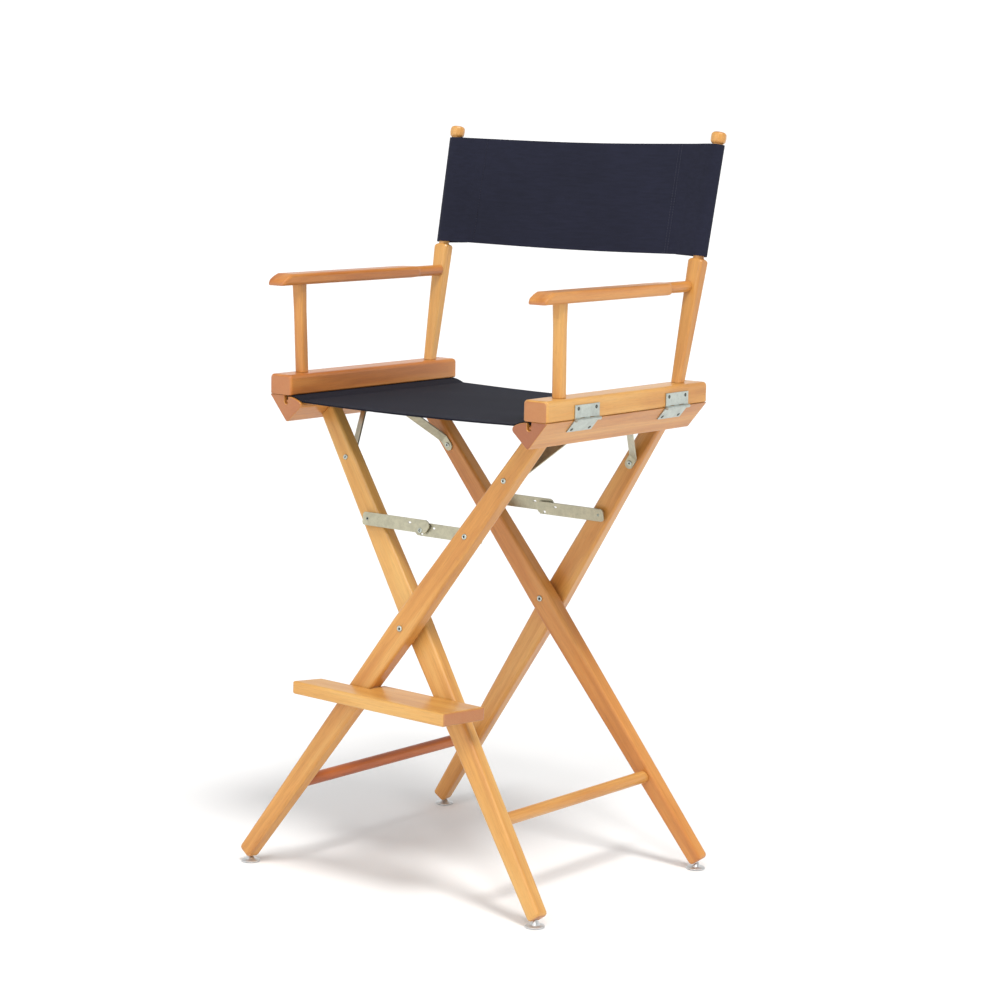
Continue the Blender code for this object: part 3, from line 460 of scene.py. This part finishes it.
def sheet_mesh(name, rows, thick, mat):
    """Closed thin sheet from a grid of middle points, rows[i][j], offset both ways along its normals."""
    m, k = len(rows), len(rows[0])

    def normal(i, j):
        du = rows[min(i + 1, m - 1)][j] - rows[max(i - 1, 0)][j]
        dv = rows[i][min(j + 1, k - 1)] - rows[i][max(j - 1, 0)]
        return du.cross(dv).normalized()

    top, low = [], []
    for i in range(m):
        for j in range(k):
            nrm = normal(i, j)
            top.append(rows[i][j] + nrm * thick / 2)
            low.append(rows[i][j] - nrm * thick / 2)
    base = m * k
    faces = []
    for i in range(m - 1):
        for j in range(k - 1):
            a, b, c, d = i * k + j, (i + 1) * k + j, (i + 1) * k + j + 1, i * k + j + 1
            faces += [(a, b, c, d), (base + d, base + c, base + b, base + a)]
    rim = [(i, 0) for i in range(m)] + [(m - 1, j) for j in range(1, k)]
    rim += [(i, k - 1) for i in range(m - 2, -1, -1)] + [(0, j) for j in range(k - 2, 0, -1)]
    for (i, j), (p, q) in zip(rim, rim[1:] + rim[:1]):
        a, b = i * k + j, p * k + q
        faces.append((a, base + a, base + b, b))
    obj = piece(name, top + low, faces, mat, angle=70)
    bm = bmesh.new()
    bm.from_mesh(obj.data)
    bmesh.ops.recalc_face_normals(bm, faces=bm.faces)
    bm.to_mesh(obj.data)
    bm.free()
    return obj


STITCH_LONG, STITCH_GAP, STITCH_R = 0.0030, 0.0012, 0.00036
STITCH_SIDES = 6
# one stitch as (share of its length, rise in radii, thickness in radii)
STITCH_SHAPE = ((0.0, -0.6, 0.35), (0.15, 0.3, 0.9), (0.5, 0.75, 1.0), (0.85, 0.3, 0.9), (1.0, -0.6, 0.35))


def stitches(name, points, normal, mat):
    """A row of sewn stitches along a polyline, each a small rounded bar that dips at both ends."""
    verts, faces = [], []
    marks = [0.0]
    for a, b in zip(points, points[1:]):
        marks.append(marks[-1] + (b - a).length)
    angles = [pi / 6 + 2 * pi * k / STITCH_SIDES for k in range(STITCH_SIDES)]
    nudge = 1e-4

    def along(s):
        s = min(max(s, 0.0), marks[-1])
        for i in range(len(points) - 1):
            if s <= marks[i + 1]:
                t = (s - marks[i]) / max(marks[i + 1] - marks[i], 1e-9)
                return points[i].lerp(points[i + 1], t)
        return points[-1]

    s = STITCH_GAP
    while s + STITCH_LONG < marks[-1]:
        start = len(verts)
        for share, rise, thickness in STITCH_SHAPE:
            at = s + STITCH_LONG * share
            run = (along(at + nudge) - along(at - nudge)).normalized()
            lift = (normal - run * normal.dot(run)).normalized()
            across = run.cross(lift)
            centre = along(at) + lift * STITCH_R * rise
            for a in angles:
                verts.append(centre + (lift * cos(a) + across * sin(a) * 1.15) * STITCH_R * thickness)
        faces += ring_faces(start, len(STITCH_SHAPE), STITCH_SIDES)
        faces.append(tuple(range(start + STITCH_SIDES - 1, start - 1, -1)))
        faces.append(tuple(range(len(verts) - STITCH_SIDES, len(verts))))
        s += STITCH_LONG + STITCH_GAP
    return piece(name, verts, faces, mat)


# ------------------------------------------------------------------ seat sling

SEAT_Y = 0.200  # half the cloth's depth
NOSE_X, NOSE_Z = 0.2105, 0.74395  # where the cloth reaches a rail's nose
SEAT_SAG = 0.0040
CLOTH_T = 0.0012
HEM = 0.020
SEAT_COLUMNS, SEAT_LINES, STRIP_LINES, HEM_LINES = 56, 44, 24, 5
# the cloth on the right from the nose over the rail into the groove, as (x, z)
OVER_NOSE = [
    (NOSE_X, NOSE_Z), (0.2124, 0.7443), (0.2146, 0.7453), (0.2186, 0.7469), (0.2236, 0.7485),
    (0.2286, 0.7497), (0.2330, 0.7503), (0.2366, 0.7505), (0.2386, 0.7500), (0.2396, 0.7486),
    (0.2399, 0.7460),
]


def seat_height(x, y):
    """Middle surface of the seat between the noses: a shallow trough, tighter at the hems."""
    f = abs(x) / NOSE_X
    sag = SEAT_SAG * (1 - f * f)
    edge = (abs(y) / SEAT_Y) ** 4
    z = NOSE_Z - sag * (1 - 0.25 * edge)
    ripple = noise.noise(Vector((x * 7, y * 16, 0.3))) * 0.0007 * (1 - f ** 6)
    pull = sin(y * 62 + x * 4) * 0.00022 * f * f * (1 - f ** 8)
    return z + ripple + pull


def even(half, steps):
    """Even places from -half to half."""
    return [-half + 2 * half * i / steps for i in range(steps + 1)]


grid = []
for x in even(NOSE_X, SEAT_COLUMNS):
    row = []
    for y in even(SEAT_Y, SEAT_LINES):
        wander = 0.0012 * (1 - (abs(x) / NOSE_X) ** 2) * (1 if y > 0 else -1) * (abs(y) / SEAT_Y) ** 6
        row.append(Vector((x, y - wander, seat_height(x, y))))
    grid.append(row)
seat = sheet_mesh("seat_canvas", grid, CLOTH_T, DUCK_SEAT)
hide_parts("seat_sling_right", "seat_sling_left")
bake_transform(seat)

for sx, body, tag in ((1, "frame_outer", "right"), (-1, "frame_inner", "left")):
    strip = [[Vector((sx * x, y, z)) for y in even(SEAT_Y, STRIP_LINES)] for x, z in OVER_NOSE[::sx]]
    edge = sheet_mesh(f"seat_edge_{tag}", strip, CLOTH_T * 0.85, DUCK_SEAT)
    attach(edge, body)

# hems along the front and rear edges: a turned strip under the cloth and two stitch lines on top
for end, tag in ((-1, "front"), (1, "rear")):
    rows = []
    for x in even(NOSE_X, SEAT_COLUMNS):
        row = []
        for k in range(HEM_LINES + 1):
            inset = HEM * k / HEM_LINES
            z = seat_height(x, end * (SEAT_Y - inset)) - CLOTH_T - 0.0001
            row.append(Vector((x, end * (SEAT_Y - 0.0006 - inset), z)))
        rows.append(row)
    hem = sheet_mesh(f"seat_hem_{tag}", rows, CLOTH_T, DUCK_SEAT)
    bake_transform(hem)
    for number, inset in enumerate((0.0035, 0.0170)):
        y = end * (SEAT_Y - inset)
        line = [Vector((x, y, seat_height(x, y) + CLOTH_T / 2)) for x in even(NOSE_X - 0.002, SEAT_COLUMNS)]
        row = stitches(f"seat_stitch_{tag}_{number}", line, Z, THREAD)
        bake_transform(row)

# ------------------------------------------------------------------ back sling

BACK_LOW, BACK_HIGH = 0.977, 1.1475
BACK_T = 0.0011
BOW = 0.0090  # how far the panel's middle hangs behind its ends
DROOP = 0.0030
SLEEVE = SPINDLE_R + 0.0013  # radius of the cloth round a spindle
SEAM = 0.046  # the rear flap's end, inboard of the spindle
FRONT_RUN = SEAM - 0.004  # the sleeve's flat stretch on the front
FRONT_START = 0.006  # where it leaves the loop, inboard of the spindle
FRONT_DEPTH = -SLEEVE * 0.97
FRONT_RISE = 0.0122  # how far it runs rearward over its length
LEVELS, PANEL_STEPS = 22, 40


def back_point(sx, z, a, b):
    """A point at a height z of a spindle, moved a outboard and b rearward across it."""
    rake = Vector((sx * RAKE.x, RAKE.y, RAKE.z))
    u = (X * sx - rake * rake.dot(X * sx)).normalized()
    v = rake.cross(u)
    if v.y < 0:
        v = -v
    base = Vector((sx * POST_BASE.x, POST_BASE.y, POST_BASE.z))
    return base + rake * ((z - POST_BASE.z) / rake.z) + u * a + v * b


def sleeve_outline(w):
    """Cloth round a spindle as (outboard, rearward) pairs: rear flap, loop, and the start of the front panel.
    The loop is a little slacker at the bottom, w = 0, than at the top, w = 1."""
    outline = [(-SEAM + (SEAM - FRONT_START) * t, 0.0046 + 0.0044 * t) for t in (0.0, 0.25, 0.5, 0.75)]
    for degrees in range(112, -105, -18):
        p = radians(degrees)
        loose = 1.0 + 0.32 * max(cos(p), 0.0) * (1.15 - 0.5 * w)
        outline.append((SLEEVE * cos(p) * loose, SLEEVE * sin(p)))
    for t in (0.15, 0.35, 0.6, 0.85, 1.0):
        outline.append((-FRONT_START - FRONT_RUN * t, FRONT_DEPTH + FRONT_RISE * t))
    return outline


def panel_line(z):
    """The front panel between the sleeves at a height, from the right to the left."""
    inboard = FRONT_START + FRONT_RUN
    half = back_point(1, z, 0, 0).x - inboard
    start = back_point(1, z, -inboard, FRONT_DEPTH + FRONT_RISE)
    line = []
    for i in range(1, PANEL_STEPS):
        x = half * (1 - 2 * i / PANEL_STEPS)
        reach = (x / half) ** 2
        bow = BOW * (1 - reach)
        droop = DROOP * (1 - reach) * (1 - reach * 0.3)
        wrinkle = noise.noise(Vector((x * 9, z * 14, 2.0))) * 0.0010 * (1 - abs(x) / half) ** 0.5
        line.append(Vector((x, start.y + bow + wrinkle, start.z - droop)))
    return line


back_rows, panels = [], []
for k in range(LEVELS + 1):
    w = k / LEVELS
    z = BACK_LOW + (BACK_HIGH - BACK_LOW) * w
    outline = sleeve_outline(w)
    right = [back_point(1, z, a, b) for a, b in outline]
    left = [back_point(-1, z, a, b) for a, b in outline]
    panels.append(panel_line(z))
    back_rows.append(right + panels[-1] + left[::-1])
back = sheet_mesh("back_canvas", back_rows, BACK_T, DUCK_BACK)
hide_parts("back_sling_right", "back_sling_left")
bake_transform(back)

# ------------------------------------------------------------------ screws, and painted shade in the rivet dimples

SCREW_R, SCREW_SIDES = 0.0026, 16
# a screw head from its rim to the bottom of its recess, as (radius in head radii, height)
SCREW_SHAPE = (
    (1.12, -0.0002), (1.1, 0.00012), (0.92, 0.00030), (0.5, 0.00042), (0.34, 0.00020), (0.30, -0.0004),
)
SCREW_INSET = 0.008  # from a leaf's end
UPPER_SCREW_Z = 0.7675
LOWER_SCREW_RUN = 0.0185  # down the rail's slanted face
# discs of painted shade for the rivet dimples: radius, sides, and shape as (share of the radius, height)
PIT_R, PIT_SIDES = 0.0017, 12
PIT_SHAPE = ((1.0, 0.0004), (0.8, -0.0001), (0.3, -0.0004))
HEAD = 0.0014  # a rivet head's dimple above the surface it sits on
BRACE_STACK = GAP + 0.0024 + 0.0009  # brace and head on a leg's inner side


def turned_pieces(name, spots, shape, radius, sides, mat, body, cross_below=0.0):
    """Small turned forms on one body, at (centre, outward direction) spots, with the last ring closed.
    Rings narrower than cross_below times the radius are drawn in to a four-armed cross."""
    verts, faces = [], []
    for at, out in spots:
        u = out.orthogonal().normalized()
        v = out.cross(u)
        start = len(verts)
        for share, rise in shape:
            for k in range(sides):
                a = 2 * pi * k / sides
                star = 1.0
                if share < cross_below:
                    star = 1.25 if k % 4 == 0 else 0.62
                verts.append(at + (u * cos(a) + v * sin(a)) * radius * share * star + out * rise)
        faces += ring_faces(start, len(shape), sides)
        faces.append(tuple(range(len(verts) - sides, len(verts))))
    obj = piece(name, verts, faces, mat)
    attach(obj, body)


def screws(name, spots, body):
    """Countersunk cross-head screws in a hinge leaf."""
    turned_pieces(name, spots, SCREW_SHAPE, SCREW_R, SCREW_SIDES, SCREW, body, cross_below=0.55)


def pit_shades(name, spots, body):
    """Dark discs of painted shade in the dimples in the middle of rivet heads."""
    turned_pieces(name, spots, PIT_SHAPE, PIT_R, PIT_SIDES, PIT_SHADE, body)


for sx, tag, low_body, up_body in (
    (1, "right", "frame_outer", "arm_frame_right"), (-1, "left", "frame_inner", "arm_frame_left"),
):
    slant = Vector((sx * SLANT.x, 0, SLANT.z))
    out = Vector((-sx * SLANT.z, 0, SLANT.x))
    low = Vector((sx * RAIL_SIDE, 0, RAIL_TOP)) + slant * LOWER_SCREW_RUN + out * (GAP + LEAF_T)
    high = Vector((sx * (RAIL_SIDE + GAP + LEAF_T), 0, UPPER_SCREW_Z))
    for end in ("front", "rear"):
        box_low, box_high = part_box(f"hinge_upper_{tag}_{end}")
        places = [Y * (box_low[1] + SCREW_INSET), Y * (box_high[1] - SCREW_INSET)]
        screws(f"hinge_screws_upper_{tag}_{end}", [(high + y, X * sx) for y in places], up_body)
        screws(f"hinge_screws_lower_{tag}_{end}", [(low + y, out) for y in places], low_body)

# painted shade in the dimples of the rivet and bolt heads on each leg
for leg, lean, end, face, body in (
    ("leg_front_outer", 1, -1, OUTER_FACE, "frame_outer"),
    ("leg_rear_outer", 1, 1, OUTER_FACE, "frame_outer"),
    ("leg_front_inner", -1, -1, INNER_FACE, "frame_inner"),
    ("leg_rear_inner", -1, 1, INNER_FACE, "frame_inner"),
):
    along, out = leg_frame(lean, end)
    hub = Vector((0, end * face, PIVOT_Z))
    spreader = hub + along * SPREADER_AT
    brace = hub + along * BRACE_AT
    spots = [(brace + out * HEAD, out), (brace - out * (LEG_THICK + BRACE_STACK), -out)]
    if lean == 1:
        spots.insert(0, (spreader + out * HEAD, out))
        spots.append((hub + Y * end * 0.0013, Y * end))
    else:
        spots.append((hub - Y * end * (LEG_THICK / cos(PSI) + HEAD), -Y * end))
        spots.append((spreader - out * (LEG_THICK + HEAD), -out))
    pit_shades(f"{leg}_recess_shades", spots, body)

# painted shade in the dimples of the bolt end and knee rivet of the inner legs' links
for end, tag in ((-1, "front_left"), (1, "rear_left")):
    along, out = leg_frame(-1, end)
    upward = Vector((0, -end * sin(PSI), cos(PSI)))
    bolt = Vector((0, end * INNER_FACE, PIVOT_Z)) + along * SPREADER_AT
    knee = bolt + X * abs(bolt.x) - upward * KNEE_DROP
    spots = [(bolt + out * (LINK_FACE + 0.0001), out), (knee + out * (LINK_FACE + 0.0012), out)]
    pit_shades(f"link_{tag}_recess", spots, f"link_{tag}")

# ------------------------------------------------------------------ seams of the back

FACE = Vector((0, -1, RAKE.y)).normalized()
SEAM_APART = 0.0055
SEAM_LIMIT = max(abs(p.x) for p in panels[0]) - 0.001


def front_line(x_seam):
    """Points of the front panel at a place across, from the bottom to the top edge."""
    line = []
    for panel in panels:
        spot = min(range(len(panel) - 1), key=lambda i: abs((panel[i].x + panel[i + 1].x) / 2 - x_seam))
        a, b = panel[spot], panel[spot + 1]
        line.append(a.lerp(b, (x_seam - a.x) / (b.x - a.x)))
    return line


# two stitch rows for each sleeve, through the front panel
for sx, tag, seam_at in ((1, "right", 0.193), (-1, "left", 0.221)):
    for number in range(2):
        x_seam = sx * min(seam_at - SEAM_APART * number, SEAM_LIMIT)
        line = [p + FACE * BACK_T / 2 for p in front_line(x_seam)]
        row = stitches(f"back_stitch_{tag}_{number}", line, FACE, THREAD)
        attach(row, f"back_{tag}")
